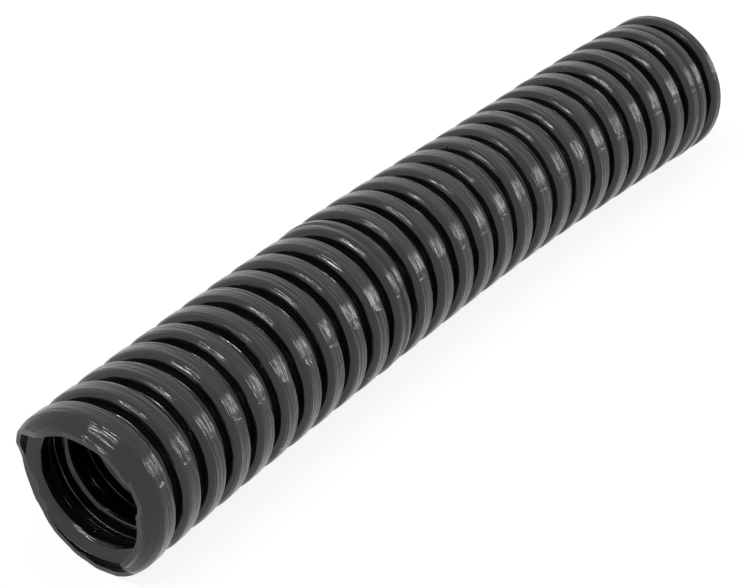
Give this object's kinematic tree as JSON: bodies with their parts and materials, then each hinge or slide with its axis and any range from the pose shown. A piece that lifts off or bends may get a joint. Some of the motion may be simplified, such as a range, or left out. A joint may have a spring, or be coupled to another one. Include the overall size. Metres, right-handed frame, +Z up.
{
  "type": "corrugated conduit",
  "caption": "Short cut length of black corrugated plastic conduit, a thin-walled tube with flat-topped rings, open at both ends and slightly bowed.",
  "frame": {"origin": "on the floor, at the middle of what the tube covers", "axes": "+X along the tube towards the square cut end, +Y towards the outside of the slight bend, +Z up"},
  "size_m": [0.0827, 0.0144, 0.013],
  "materials": {
    "conduit_plastic": "glossy black plastic"
  },
  "bodies": {
    "root": {"conduit": "conduit_plastic"}
  },
  "joints": []
}
